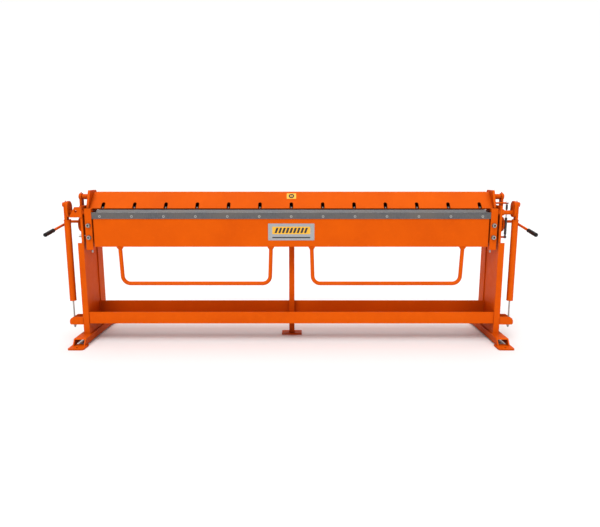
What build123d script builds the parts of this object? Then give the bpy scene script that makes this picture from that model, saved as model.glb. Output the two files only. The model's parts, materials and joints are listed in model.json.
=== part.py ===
"""Manual sheet metal brake with a hanging bending leaf, 2540 mm working length.

Frame: origin on the floor, midway between the four anchor holes.
+X runs to the operator's right, +Y away from the operator, +Z up.  Millimetres.
"""

import math
import os

from build123d import *

os.makedirs("parts", exist_ok=True)

# ---------------------------------------------------------------- driving dimensions
working_length = 2540.0
bend_y = -143.0
bend_z = 848.0
fastener_count = 13
fastener_pitch = 203.0

# feet and legs
rail_x = 1352.0
rail_width = 78.0
rail_height = 43.0
rail_length = 522.0
rail_slant = 31.0
rail_wall = 8.0
foot_thickness = 10.0
foot_width = 100.0
foot_length = 98.0
base_depth = 690.0
anchor_y = 319.0
anchor_radius = 7.0
web_x = 1324.0
leg_plate = 8.0
leg_flange = 38.0
leg_front = -170.0
leg_rear = 137.0
leg_top = 655.0
rail_top = foot_thickness + rail_height

# upper cheeks
cheek_thickness = 14.0
cheek_outer = web_x + cheek_thickness
cheek_front = -165.0
cheek_top = 890.0

# tray and centre post
tray_front = -165.0
tray_rear = 40.0
tray_bottom = 123.0
tray_lip_top = 200.0
tray_rear_top = 229.0
tray_wall = 5.0
post_width = 36.0
post_depth = 30.0
post_wall = 3.0

# bed
bed_front = -100.0
bed_rear = 120.0
bed_bottom = 660.0
bed_wall = 8.0
bed_blade_thickness = 12.0
bed_blade_back = -60.0
bed_blade_half = 1266.0
nose_gap = 0.5

# bending leaf
strip_thickness = 12.0
strip_height = 40.0
strip_front = bend_y - strip_thickness
strip_bottom = bend_z - strip_height
strip_screw_z = 823.0
apron_front = strip_front + 4.0
apron_plate = 10.0
apron_bottom = 628.0
apron_half = 1262.0
apron_flange_back = -111.0
hinge_bar_inner = working_length / 2
hinge_bar_outer = 1313.0
hinge_bar_x = (hinge_bar_inner + hinge_bar_outer) / 2
hinge_bar_front = -158.0
hinge_bar_back = -128.0
hinge_bar_bottom = 609.0
hinge_bar_top = 873.0
hinge_bolt_heights = (689.0, 766.0)
hinge_lug_back = -116.0

# printed plates
label_thickness = 1.5

# handles below the leaf
handle_inner_x = 132.0
handle_outer_x = 1106.0
handle_lean = 8.0
handle_straight = 20.0
handle_bottom = 384.0
handle_radius = 12.5
handle_bore = 10.0
handle_corner = 50.0
handle_bend = 30.0
handle_y = -131.0
collar_radius = 24.0
collar_height = 14.0
collar_taper = 28.0

# leaf pivots and spring balance
pivot_radius = 13.5
running_gap = 0.05
arm_inner = 1408.0
arm_thickness = 12.0
arm_outer = arm_inner + arm_thickness
arm_pin_rise = 50.0
arm_pin_z = bend_z + arm_pin_rise
arm_pin_radius = 10.0
hanger_inner = 1424.0
hanger_outer = 1441.0
tube_x = 1429.0
tube_radius = 20.5
tube_bore = 17.0
tube_top = 795.0
tube_bottom = 273.0
tube_floor = 10.0
rod_radius = 5.0
rod_bottom = 94.0
rod_head_z = 632.0
bracket_bottom = 117.0
bracket_top = 168.0
bracket_plate = 10.0
bracket_floor = 127.0
bracket_outer = 1450.0
bracket_rear = -91.0
slot_shift = 13.0
slot_length = 44.0
nut_gap = 10.0

# clamp
clamp_lift = 30.0
beam_half = 1301.0
beam_wall = 7.0
beam_bottom = 863.0
beam_face_low = (-98.0, 871.0)
beam_face_high = (-5.0, 972.0)
beam_rear = 80.0
beam_top = beam_face_high[1]
end_plate_thickness = 15.0
end_plate_outer = beam_half + end_plate_thickness
blade_bottom = bend_z + nose_gap
blade_half = 1242.0
blade_bolt_y = -83.0
clamp_pin_y = -30.0
clamp_pin_z = 943.0
clamp_pin_radius = 17.5
pin_neck_radius = 12.0

# lever shaft and eccentrics
shaft_y = clamp_pin_y
shaft_z = 780.0
shaft_radius = 9.0
shaft_body_radius = 15.0
eccentric_radius = 34.0
eccentric_throw = clamp_lift / math.sqrt(2)
strap_inner = 1368.0
strap_outer = 1382.0
strap_clearance = 1.4
strap_half = 20.0
strap_eye_radius = 24.0
lever_x = 1466.0
lever_half_hub = 8.0
lever_hub_radius = 16.0
lever_droop = 8.1
lever_length = 350.0
lever_radius = 8.0
grip_start = 238.0
grip_radius = 12.5
grip_cap = 6.0

# gas strut, right side only
strut_x = 1395.0
strut_y = -80.0
strut_low_z = 683.0
strut_high_z = 904.0
strut_radius = 8.0
strut_rod_radius = 4.0
stud_radius = 6.0


# ---------------------------------------------------------------- helpers
def save(piece, name):
    """Label one finished piece and write its STEP file."""
    piece.label = name
    export_step(piece, f"parts/{name}.step")


def side_name(side):
    return "right" if side > 0 else "left"


def across(x):
    """Plane across the machine at x; its own axes are the machine's Y and Z."""
    return Plane.YZ.offset(x)


def from_front(y):
    """Plane facing the operator at y; its own axes are the machine's X and Z."""
    return Plane(origin=(0, y, 0), x_dir=(1, 0, 0), z_dir=(0, -1, 0))


def centre_rectangle(x_low, x_high, y_low, y_high, mode=Mode.ADD):
    """Rectangle between two corners of the current sketch."""
    with Locations(((x_low + x_high) / 2, (y_low + y_high) / 2)):
        Rectangle(x_high - x_low, y_high - y_low, mode=mode)


def outline(*points, mode=Mode.ADD):
    """Filled outline with straight sides through the given points."""
    Polygon(*points, align=None, mode=mode)


def row_of_fasteners(z):
    """Even row of positions along the working length."""
    first = -fastener_pitch * (fastener_count - 1) / 2
    return [(first + i * fastener_pitch, z) for i in range(fastener_count)]


# ---------------------------------------------------------------- feet and rails
rail_end = rail_length / 2
base_end = base_depth / 2
foot_edges = (-base_end, base_end - foot_length)

with BuildPart() as foot_plates:
    with BuildSketch(Plane.XY):
        for side in (-1, 1):
            for low in foot_edges:
                with Locations((side * rail_x, low + foot_length / 2)):
                    RectangleRounded(foot_width, foot_length, 12)
        with Locations([(sx * rail_x, sy * anchor_y) for sx in (-1, 1) for sy in (-1, 1)]):
            Circle(anchor_radius, mode=Mode.SUBTRACT)
    extrude(amount=foot_thickness)
save(foot_plates.part, "foot_plates")

for side in (-1, 1):
    with BuildPart() as foot_rail:
        with BuildSketch(across(side * rail_x)):
            outline(
                (-rail_end - rail_slant, foot_thickness),
                (rail_end + rail_slant, foot_thickness),
                (rail_end, rail_top),
                (-rail_end, rail_top),
            )
        extrude(amount=rail_width / 2, both=True)
        fillet(foot_rail.edges().filter_by(Axis.Y).group_by(Axis.Z)[-1], 6)
        with BuildSketch(across(side * rail_x)):
            centre_rectangle(-base_end, base_end, foot_thickness, rail_top - rail_wall)
        extrude(amount=rail_width / 2 - rail_wall, both=True, mode=Mode.SUBTRACT)
    save(foot_rail.part, f"foot_rail_{side_name(side)}")

# ---------------------------------------------------------------- side frames
for side in (-1, 1):
    with BuildPart() as side_frame:
        with BuildSketch(Plane.XY.offset(rail_top)):
            inner = side * web_x
            web = side * (web_x + leg_plate)
            tip = side * (web_x + leg_flange)
            outline(
                (inner, leg_front),
                (tip, leg_front),
                (tip, leg_front + leg_plate),
                (web, leg_front + leg_plate),
                (web, leg_rear - leg_plate),
                (tip, leg_rear - leg_plate),
                (tip, leg_rear),
                (inner, leg_rear),
            )
        extrude(amount=leg_top - rail_top)
    save(side_frame.part, f"side_frame_{side_name(side)}")

with BuildPart() as leg_doublers:
    doubler = 6.0
    for side in (-1, 1):
        with BuildSketch(across(side * web_x)):
            centre_rectangle(tray_rear, leg_rear - leg_plate, rail_top + 8, leg_top - 5)
        extrude(amount=-side * doubler)
save(leg_doublers.part, "leg_doublers")

# ---------------------------------------------------------------- upper cheeks and bushes
pivot_bush_radius = 20.0
pivot_bush_start = 1318.0
pivot_bush_length = 34.0
shaft_bush_radius = 16.0
shaft_bush_start = 1320.0
shaft_bush_length = 24.0
cheek_rear_top = 800.0
cheek_shoulder_y = 60.0
stop_bolt_y = -150.0
stop_bolt_z = 700.0
stop_bolt_radius = 5.0
stop_bolt_tip = 1315.0
stop_head_radius = 11.0
stop_head_length = 19.0

for side in (-1, 1):
    with BuildPart() as cheek_plate:
        with BuildSketch(across(side * web_x)):
            outline(
                (cheek_front, leg_top),
                (leg_rear, leg_top),
                (leg_rear, cheek_rear_top),
                (cheek_shoulder_y, cheek_top),
                (cheek_front, cheek_top),
            )
            with Locations((bend_y, bend_z)):
                Circle(pivot_bush_radius, mode=Mode.SUBTRACT)
            with Locations((shaft_y, shaft_z)):
                Circle(shaft_bush_radius, mode=Mode.SUBTRACT)
        extrude(amount=side * cheek_thickness)
        if side < 0:
            with BuildSketch(across(side * web_x)):
                with Locations((stop_bolt_y, stop_bolt_z)):
                    Circle(stop_bolt_radius)
            extrude(amount=side * cheek_thickness, mode=Mode.SUBTRACT)
    save(cheek_plate.part, f"cheek_plate_{side_name(side)}")

with BuildPart() as pivot_bushes:
    for side in (-1, 1):
        with BuildSketch(across(side * pivot_bush_start)):
            with Locations((bend_y, bend_z)):
                Circle(pivot_bush_radius)
                Circle(pivot_radius + running_gap, mode=Mode.SUBTRACT)
        extrude(amount=side * pivot_bush_length)
save(pivot_bushes.part, "pivot_bushes")

with BuildPart() as shaft_bushes:
    for side in (-1, 1):
        with BuildSketch(across(side * shaft_bush_start)):
            with Locations((shaft_y, shaft_z)):
                Circle(shaft_bush_radius)
                Circle(shaft_radius + running_gap, mode=Mode.SUBTRACT)
        extrude(amount=side * shaft_bush_length)
save(shaft_bushes.part, "shaft_bushes")

with BuildPart() as stop_bolt:
    with BuildSketch(across(-stop_bolt_tip)):
        with Locations((stop_bolt_y, stop_bolt_z)):
            Circle(stop_bolt_radius)
    extrude(amount=-(cheek_outer - stop_bolt_tip))
    with BuildSketch(across(-cheek_outer)):
        with Locations((stop_bolt_y, stop_bolt_z)):
            RegularPolygon(stop_head_radius, 6)
    extrude(amount=-stop_head_length)
save(stop_bolt.part, "stop_bolt")

with BuildPart() as stop_bracket:
    gusset_bottom = 818.0
    gusset_top = 884.0
    gusset_outer = 1402.0
    gusset_shoulder = 1368.0
    gusset_thickness = 6.0
    shelf_thickness = 8.0
    shelf_depth = 35.0
    gusset_hole_x = 1362.0
    gusset_hole_z = 857.0
    gusset_hole_radius = 8.0
    with BuildSketch(from_front(cheek_front)):
        outline(
            (-web_x, gusset_bottom),
            (-gusset_outer, gusset_bottom),
            (-gusset_outer, gusset_bottom + shelf_thickness),
            (-gusset_shoulder, gusset_top),
            (-web_x, gusset_top),
        )
        with Locations((-gusset_hole_x, gusset_hole_z)):
            Circle(gusset_hole_radius, mode=Mode.SUBTRACT)
    extrude(amount=gusset_thickness)
    with BuildSketch(from_front(cheek_front)):
        centre_rectangle(-gusset_outer, -cheek_outer, gusset_bottom, gusset_bottom + shelf_thickness)
    extrude(amount=-shelf_depth)
save(stop_bracket.part, "stop_bracket")

# ---------------------------------------------------------------- tray and centre post
post_front = tray_rear - tray_wall - post_depth
post_back = tray_rear - tray_wall

with BuildPart() as tray:
    with BuildSketch(across(-web_x)):
        outline(
            (tray_front, tray_bottom),
            (tray_rear, tray_bottom),
            (tray_rear, tray_rear_top),
            (tray_rear - tray_wall, tray_rear_top),
            (tray_rear - tray_wall, tray_bottom + tray_wall),
            (tray_front + tray_wall, tray_bottom + tray_wall),
            (tray_front + tray_wall, tray_lip_top),
            (tray_front, tray_lip_top),
        )
    extrude(amount=2 * web_x)
    with BuildSketch(Plane.XY.offset(tray_bottom)):
        centre_rectangle(-post_width / 2, post_width / 2, post_front, post_back)
    extrude(amount=tray_wall, mode=Mode.SUBTRACT)
save(tray.part, "tray")

with BuildPart() as centre_post:
    with BuildSketch(Plane.XY.offset(foot_thickness)):
        centre_rectangle(-post_width / 2, post_width / 2, post_front, post_back)
        centre_rectangle(
            -post_width / 2 + post_wall,
            post_width / 2 - post_wall,
            post_front + post_wall,
            post_back - post_wall,
            mode=Mode.SUBTRACT,
        )
    extrude(amount=bed_bottom - foot_thickness)
save(centre_post.part, "centre_post")

with BuildPart() as centre_foot_plate:
    centre_plate_width = 136.0
    centre_plate_depth = 80.0
    with BuildSketch(Plane.XY):
        with Locations((0, (post_front + post_back) / 2)):
            RectangleRounded(centre_plate_width, centre_plate_depth, 5)
    extrude(amount=foot_thickness)
save(centre_foot_plate.part, "centre_foot_plate")

# ---------------------------------------------------------------- bed
rabbet_z = bend_z - bed_blade_thickness
bed_screw_y = -80.0
bed_screw_radius = 5.0

with BuildPart() as bed_beam:
    with BuildSketch(across(-web_x)):
        outline(
            (bed_front, bed_bottom),
            (bed_rear, bed_bottom),
            (bed_rear, bend_z),
            (bed_blade_back, bend_z),
            (bed_blade_back, rabbet_z),
            (bed_front, rabbet_z),
        )
        centre_rectangle(
            bed_front + bed_wall,
            bed_rear - bed_wall,
            bed_bottom + bed_wall,
            rabbet_z - bed_wall,
            mode=Mode.SUBTRACT,
        )
    extrude(amount=2 * web_x)
    with BuildSketch(Plane.XY.offset(rabbet_z)):
        with Locations(row_of_fasteners(bed_screw_y)):
            Circle(bed_screw_radius)
    extrude(amount=-bed_wall, mode=Mode.SUBTRACT)
save(bed_beam.part, "bed_beam")

with BuildPart() as bed_blade:
    with BuildSketch(across(-bed_blade_half)):
        outline(
            (bend_y + nose_gap, bend_z),
            (bed_blade_back, bend_z),
            (bed_blade_back, rabbet_z),
            (bend_y + 12, rabbet_z),
            (bend_y + nose_gap, rabbet_z + 8),
        )
    extrude(amount=2 * bed_blade_half)
    with BuildSketch(Plane.XY.offset(rabbet_z)):
        with Locations(row_of_fasteners(bed_screw_y)):
            Circle(bed_screw_radius)
    extrude(amount=bed_blade_thickness, mode=Mode.SUBTRACT)
save(bed_blade.part, "bed_blade")

with BuildPart() as bed_blade_screws:
    with BuildSketch(Plane.XY.offset(rabbet_z - bed_wall)):
        with Locations(row_of_fasteners(bed_screw_y)):
            Circle(bed_screw_radius)
    extrude(amount=bed_wall + bed_blade_thickness - 1)
save(bed_blade_screws.part, "bed_blade_screws")

# ---------------------------------------------------------------- spring anchor brackets
with BuildPart() as spring_brackets:
    bracket_wall = 8.0
    flange_tip = web_x + leg_flange
    for side in (-1, 1):
        with BuildSketch(Plane.XY.offset(bracket_floor)):
            low, high = sorted((side * (web_x + leg_plate), side * bracket_outer))
            centre_rectangle(low, high, leg_front + leg_plate, bracket_rear)
            with Locations((side * tube_x, bend_y + slot_shift)):
                SlotOverall(slot_length, 2 * rod_radius + 3, rotation=90, mode=Mode.SUBTRACT)
        extrude(amount=bracket_plate)
        walls = (
            (leg_front + leg_plate, flange_tip),
            (bracket_rear, web_x + leg_plate),
        )
        for wall_back, wall_start in walls:
            with BuildSketch(from_front(wall_back)):
                outline(
                    (side * wall_start, bracket_bottom),
                    (side * (bracket_outer - 6), bracket_bottom),
                    (side * bracket_outer, bracket_bottom + 8),
                    (side * bracket_outer, bracket_top - 26),
                    (side * (bracket_outer - 7), bracket_top - 10),
                    (side * (bracket_outer - 22), bracket_top),
                    (side * wall_start, bracket_top),
                )
            extrude(amount=bracket_wall)
save(spring_brackets.part, "spring_brackets")

# ---------------------------------------------------------------- bending leaf
leaf_seat_back = bend_y + 12
leaf_seat_top = 832.0
leaf_seat_bottom = 796.0
hinge_bolt_radius = 8.0
lug_bottom = 650.0
lug_top = 786.0
strip_hole_radius = 4.0
strip_head_radius = 8.0
strip_head_depth = 4.0
strip_socket_radius = 3.4
strip_thread_reach = 11.0

with BuildPart() as bending_beam:
    with BuildSketch(across(-apron_half)):
        outline(
            (apron_front, apron_bottom),
            (apron_flange_back, apron_bottom),
            (apron_flange_back, apron_bottom + 8),
            (apron_front + apron_plate, apron_bottom + 8),
            (apron_front + apron_plate, leaf_seat_bottom - 6),
            (leaf_seat_back, leaf_seat_bottom),
            (leaf_seat_back, leaf_seat_top),
            (bend_y, leaf_seat_top),
            (bend_y, strip_bottom),
            (apron_front, strip_bottom),
        )
    extrude(amount=2 * apron_half)
    with BuildSketch(from_front(bend_y)):
        with Locations(row_of_fasteners(strip_screw_z)):
            Circle(strip_hole_radius)
    extrude(amount=-12, mode=Mode.SUBTRACT)
    for side in (-1, 1):
        with BuildSketch(from_front(hinge_bar_back)):
            low, high = sorted((side * (apron_half - 40), side * hinge_bar_outer))
            centre_rectangle(low, high, lug_bottom, lug_top)
            with Locations([(side * hinge_bar_x, z) for z in hinge_bolt_heights]):
                Circle(hinge_bolt_radius, mode=Mode.SUBTRACT)
        extrude(amount=-(hinge_lug_back - hinge_bar_back))
        with BuildSketch(across(side * apron_half)):
            centre_rectangle(apron_front + apron_plate, hinge_bar_back, lug_bottom, lug_top)
        extrude(amount=-side * 12)
save(bending_beam.part, "bending_beam")

with BuildPart() as bending_strip:
    with BuildSketch(across(-working_length / 2)):
        centre_rectangle(strip_front, bend_y, strip_bottom, bend_z)
    extrude(amount=working_length)
    with Locations(from_front(strip_front)):
        with Locations(row_of_fasteners(strip_screw_z)):
            CounterSinkHole(strip_hole_radius, strip_head_radius, counter_sink_angle=90)
save(bending_strip.part, "bending_strip")

with BuildPart() as strip_screws:
    with BuildSketch(from_front(strip_front + strip_head_depth)):
        with Locations(row_of_fasteners(strip_screw_z)):
            Circle(strip_hole_radius)
    extrude(amount=-(strip_thickness - strip_head_depth + strip_thread_reach))
    with BuildSketch(from_front(strip_front)):
        with Locations(row_of_fasteners(strip_screw_z)):
            Circle(strip_head_radius)
    extrude(amount=-strip_head_depth, taper=45)
    with BuildSketch(from_front(strip_front)):
        with Locations(row_of_fasteners(strip_screw_z)):
            RegularPolygon(strip_socket_radius, 6)
    extrude(amount=-strip_head_depth, mode=Mode.SUBTRACT)
save(strip_screws.part, "strip_screws")

pivot_seat = 1285.0
adjuster_x = hinge_bar_inner + 11
adjuster_radius = 5.5
adjuster_depth = 14.0
adjuster_bottom = 591.0
for side in (-1, 1):
    with BuildPart() as hinge_bar:
        with BuildSketch(from_front(hinge_bar_back)):
            with Locations((side * hinge_bar_x, (hinge_bar_bottom + hinge_bar_top) / 2)):
                RectangleRounded(hinge_bar_outer - hinge_bar_inner, hinge_bar_top - hinge_bar_bottom, 3)
        extrude(amount=hinge_bar_back - hinge_bar_front)
        with BuildSketch(across(side * pivot_seat)):
            with Locations((bend_y, bend_z)):
                Circle(pivot_radius)
        extrude(amount=side * (hinge_bar_outer - pivot_seat), mode=Mode.SUBTRACT)
        with BuildSketch(from_front(hinge_bar_back)):
            with Locations([(side * hinge_bar_x, z) for z in hinge_bolt_heights]):
                Circle(hinge_bolt_radius)
        extrude(amount=hinge_bar_back - hinge_bar_front, mode=Mode.SUBTRACT)
        with BuildSketch(Plane.XY.offset(hinge_bar_bottom)):
            with Locations((side * adjuster_x, bend_y)):
                Circle(adjuster_radius)
        extrude(amount=adjuster_depth, mode=Mode.SUBTRACT)
    save(hinge_bar.part, f"hinge_bar_{side_name(side)}")

with BuildPart() as hinge_bolts:
    washer_radius = 14.0
    washer_thickness = 3.0
    hinge_head_radius = 12.0
    hinge_head_height = 12.0
    hinge_socket_radius = 7.0
    hinge_socket_depth = 8.0
    for side in (-1, 1):
        places = [(side * hinge_bar_x, z) for z in hinge_bolt_heights]
        with BuildSketch(from_front(hinge_lug_back)):
            with Locations(places):
                Circle(hinge_bolt_radius)
        extrude(amount=hinge_lug_back - hinge_bar_front)
        with BuildSketch(from_front(hinge_bar_front)):
            with Locations(places):
                Circle(washer_radius)
        extrude(amount=washer_thickness)
        with BuildSketch(from_front(hinge_bar_front - washer_thickness)):
            with Locations(places):
                Circle(hinge_head_radius)
        extrude(amount=hinge_head_height)
        with BuildSketch(from_front(hinge_bar_front - washer_thickness - hinge_head_height)):
            with Locations(places):
                RegularPolygon(hinge_socket_radius, 6)
        extrude(amount=-hinge_socket_depth, mode=Mode.SUBTRACT)
save(hinge_bolts.part, "hinge_bolts")

with BuildPart() as adjusting_screws:
    for side in (-1, 1):
        with BuildSketch(Plane.XY.offset(adjuster_bottom)):
            with Locations((side * adjuster_x, bend_y)):
                Circle(adjuster_radius)
        extrude(amount=hinge_bar_bottom + adjuster_depth - adjuster_bottom)
save(adjusting_screws.part, "adjusting_screws")

with BuildPart() as pivot_shafts:
    for side in (-1, 1):
        with BuildSketch(across(side * pivot_seat)):
            with Locations((bend_y, bend_z)):
                Circle(pivot_radius)
        extrude(amount=side * (arm_outer - pivot_seat))
save(pivot_shafts.part, "pivot_shafts")

for side in (-1, 1):
    with BuildPart() as handle:
        with BuildLine():
            FilletPolyline(
                (side * handle_inner_x, handle_y, apron_bottom),
                (side * handle_inner_x, handle_y, apron_bottom - handle_straight),
                (side * (handle_inner_x + handle_lean), handle_y, handle_bottom),
                (side * (handle_outer_x - handle_lean), handle_y, handle_bottom),
                (side * handle_outer_x, handle_y, apron_bottom - handle_straight),
                (side * handle_outer_x, handle_y, apron_bottom),
                radius=[handle_bend, handle_corner, handle_corner, handle_bend],
            )
        with BuildSketch(Plane(origin=(side * handle_inner_x, handle_y, apron_bottom), z_dir=(0, 0, -1))):
            Circle(handle_radius)
            Circle(handle_bore, mode=Mode.SUBTRACT)
        sweep()
    save(handle.part, f"handle_{side_name(side)}")

with BuildPart() as handle_collars:
    with BuildSketch(Plane.XY.offset(apron_bottom)):
        with Locations([(s * x, handle_y) for s in (-1, 1) for x in (handle_inner_x, handle_outer_x)]):
            Circle(collar_radius)
    extrude(amount=-collar_height, taper=collar_taper)
    with BuildSketch(Plane.XY.offset(apron_bottom)):
        with Locations([(s * x, handle_y) for s in (-1, 1) for x in (handle_inner_x, handle_outer_x)]):
            Circle(handle_radius)
    extrude(amount=-collar_height, mode=Mode.SUBTRACT)
save(handle_collars.part, "handle_collars")

with BuildPart() as nameplate:
    nameplate_z = 724.0
    with BuildSketch(from_front(apron_front)):
        with Locations((0, nameplate_z)):
            RectangleRounded(296, 108, 4)
    extrude(amount=label_thickness)
save(nameplate.part, "nameplate")

# ---------------------------------------------------------------- spring balance
with BuildPart() as balance_arms:
    arm_width = 76.0
    arm_centre_z = (bend_z + arm_pin_z) / 2 - 3.5
    for side in (-1, 1):
        with BuildSketch(across(side * arm_inner)):
            with Locations((bend_y, arm_centre_z)):
                SlotCenterToCenter(27, arm_width, rotation=90)
            with Locations((bend_y, bend_z)):
                Circle(pivot_radius, mode=Mode.SUBTRACT)
            with Locations((bend_y, arm_pin_z)):
                Circle(arm_pin_radius, mode=Mode.SUBTRACT)
        extrude(amount=side * arm_thickness)
save(balance_arms.part, "balance_arms")

with BuildPart() as balance_pins:
    pin_head_radius = 14.5
    pin_head_length = 8.0
    head_start = hanger_outer + 1
    for side in (-1, 1):
        with BuildSketch(across(side * arm_inner)):
            with Locations((bend_y, arm_pin_z)):
                Circle(arm_pin_radius)
        extrude(amount=side * (head_start - arm_inner))
        with BuildSketch(across(side * head_start)):
            with Locations((bend_y, arm_pin_z)):
                Circle(pin_head_radius)
        extrude(amount=side * pin_head_length)
save(balance_pins.part, "balance_pins")

hanger_half = 17.0
tube_cap = 6.0
cap_lip = 1.5
rod_head_radius = 15.0
rod_head_height = 8.0
nut_flange_radius = 14.0
nut_flange_height = 3.0
nut_radius = 10.0
nut_height = 10.0
coil_radius = 11.0
coil_pitch = 20.0
wire_radius = 2.2
coil_gap = 0.3

for side in (-1, 1):
    with BuildPart() as hanger:
        with BuildSketch(across(side * hanger_inner)):
            centre_rectangle(bend_y - hanger_half, bend_y + hanger_half, tube_top + tube_cap, arm_pin_z)
            with Locations((bend_y, arm_pin_z)):
                Circle(hanger_half)
                Circle(arm_pin_radius + running_gap, mode=Mode.SUBTRACT)
        extrude(amount=side * (hanger_outer - hanger_inner))
        with BuildSketch(Plane.XY.offset(tube_top)):
            with Locations((side * tube_x, bend_y)):
                Circle(tube_radius + cap_lip)
        extrude(amount=tube_cap)
        nipple_x = side * (hanger_inner + hanger_outer) / 2
        with BuildSketch(Plane.XY.offset(arm_pin_z + 15)):
            with Locations((nipple_x, bend_y)):
                Circle(3.5)
        extrude(amount=7)
        with BuildSketch(Plane.XY.offset(arm_pin_z + 22)):
            with Locations((nipple_x, bend_y)):
                Circle(2.4)
        extrude(amount=3)
    save(hanger.part, f"hanger_strap_{side_name(side)}")

    with BuildPart() as tube:
        with BuildSketch(Plane.XY.offset(tube_bottom)):
            with Locations((side * tube_x, bend_y)):
                Circle(tube_radius)
        extrude(amount=tube_top - tube_bottom)
        with BuildSketch(Plane.XY.offset(tube_bottom + tube_floor)):
            with Locations((side * tube_x, bend_y)):
                Circle(tube_bore)
        extrude(amount=tube_top - tube_bottom - tube_floor, mode=Mode.SUBTRACT)
        with BuildSketch(Plane.XY.offset(tube_bottom)):
            with Locations((side * tube_x, bend_y)):
                Circle(rod_radius + 2 * running_gap)
        extrude(amount=tube_floor, mode=Mode.SUBTRACT)
    save(tube.part, f"balance_tube_{side_name(side)}")

    with BuildPart() as rod:
        with BuildSketch(Plane.XY.offset(rod_bottom)):
            with Locations((side * tube_x, bend_y)):
                Circle(rod_radius)
        extrude(amount=rod_head_z - rod_bottom)
        with BuildSketch(Plane.XY.offset(rod_head_z)):
            with Locations((side * tube_x, bend_y)):
                Circle(rod_head_radius)
        extrude(amount=rod_head_height)
    save(rod.part, f"balance_rod_{side_name(side)}")

    with BuildPart() as rod_nut:
        nut_top = bracket_floor - nut_gap
        with BuildSketch(Plane.XY.offset(nut_top)):
            with Locations((side * tube_x, bend_y)):
                Circle(nut_flange_radius)
                Circle(rod_radius, mode=Mode.SUBTRACT)
        extrude(amount=-nut_flange_height)
        with BuildSketch(Plane.XY.offset(nut_top - nut_flange_height)):
            with Locations((side * tube_x, bend_y)):
                RegularPolygon(nut_radius, 6)
                Circle(rod_radius, mode=Mode.SUBTRACT)
        extrude(amount=-nut_height)
    save(rod_nut.part, f"rod_nut_{side_name(side)}")

    with BuildPart() as spring:
        spring_low = tube_bottom + tube_floor + wire_radius + coil_gap
        spring_high = rod_head_z - wire_radius - coil_gap
        spring_plane = Plane(origin=(side * tube_x, bend_y, spring_low))
        with BuildLine(spring_plane) as coil:
            Helix(pitch=coil_pitch, height=spring_high - spring_low, radius=coil_radius)
        with BuildSketch(Plane(origin=coil.line @ 0, z_dir=coil.line % 0)):
            Circle(wire_radius)
        sweep(path=coil.line, is_frenet=True)
    save(spring.part, f"balance_spring_{side_name(side)}")

# ---------------------------------------------------------------- clamp beam
face_run = beam_face_high[0] - beam_face_low[0]
face_rise = beam_face_high[1] - beam_face_low[1]
face_length = math.hypot(face_run, face_rise)
face_normal = (0, -face_rise / face_length, face_run / face_length)
slot_width = 23.0
slot_low = beam_bottom + beam_wall
slot_high = 907.0
slot_cut_back = -50.0
slot_corner = 10.0
head_radius = 7.5
head_height = 9.0
blade_bolt_radius = 4.0
blade_bolt_depth = 10.0
socket_radius = 3.4

with BuildPart() as clamp_beam:
    with BuildSketch(across(-beam_half)):
        outline(
            (beam_face_low[0] + 8, beam_bottom),
            (beam_rear, beam_bottom),
            (beam_rear, beam_top),
            beam_face_high,
            beam_face_low,
        )
        offset(amount=-beam_wall, kind=Kind.INTERSECTION, mode=Mode.SUBTRACT)
    extrude(amount=2 * beam_half)
    with BuildSketch(from_front(slot_cut_back)):
        with Locations(row_of_fasteners((slot_low + slot_high) / 2)):
            RectangleRounded(slot_width, slot_high - slot_low, slot_corner)
        with Locations(row_of_fasteners(slot_low + slot_corner)):
            Rectangle(slot_width, 2 * slot_corner)
    extrude(amount=slot_cut_back - beam_face_low[0], mode=Mode.SUBTRACT)
    with BuildSketch(Plane.XY.offset(beam_bottom)):
        with Locations(row_of_fasteners(blade_bolt_y)):
            Circle(blade_bolt_radius)
    extrude(amount=beam_wall, mode=Mode.SUBTRACT)
save(clamp_beam.part, "clamp_beam")

with BuildPart() as clamp_end_plates:
    end_plate_bottom = 874.0
    end_plate_shoulder = 925.0
    end_plate_top = 985.0
    for side in (-1, 1):
        with BuildSketch(across(side * beam_half)):
            outline(
                (-113, end_plate_bottom),
                (-65, end_plate_top),
                (35, end_plate_top),
                (85, end_plate_shoulder),
                (85, end_plate_bottom),
            )
        extrude(amount=side * end_plate_thickness)
save(clamp_end_plates.part, "clamp_end_plates")

with BuildPart() as clamp_blade:
    with BuildSketch(across(-blade_half)):
        outline(
            (bend_y + 1, blade_bottom),
            (bed_blade_back, blade_bottom),
            (bed_blade_back, beam_bottom),
            (bend_y + 16, beam_bottom),
        )
    extrude(amount=2 * blade_half)
    with BuildSketch(Plane.XY.offset(beam_bottom)):
        with Locations(row_of_fasteners(blade_bolt_y)):
            Circle(blade_bolt_radius)
    extrude(amount=-blade_bolt_depth, mode=Mode.SUBTRACT)
save(clamp_blade.part, "clamp_blade")

with BuildPart() as clamp_blade_bolts:
    with BuildSketch(Plane.XY.offset(beam_bottom - blade_bolt_depth)):
        with Locations(row_of_fasteners(blade_bolt_y)):
            Circle(blade_bolt_radius)
    extrude(amount=blade_bolt_depth + beam_wall)
    with BuildSketch(Plane.XY.offset(beam_bottom + beam_wall)):
        with Locations(row_of_fasteners(blade_bolt_y)):
            Circle(head_radius)
    extrude(amount=head_height)
    with BuildSketch(Plane.XY.offset(beam_bottom + beam_wall + head_height)):
        with Locations(row_of_fasteners(blade_bolt_y)):
            RegularPolygon(socket_radius, 6)
    extrude(amount=-5, mode=Mode.SUBTRACT)
save(clamp_blade_bolts.part, "clamp_blade_bolts")

sign_share = 0.74
sign_origin = (
    0,
    beam_face_low[0] + sign_share * face_run,
    beam_face_low[1] + sign_share * face_rise,
)
with BuildPart() as sign_plate:
    with BuildSketch(Plane(origin=sign_origin, x_dir=(1, 0, 0), z_dir=face_normal)):
        RectangleRounded(62, 46, 3)
    extrude(amount=label_thickness)
save(sign_plate.part, "sign_plate")

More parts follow.
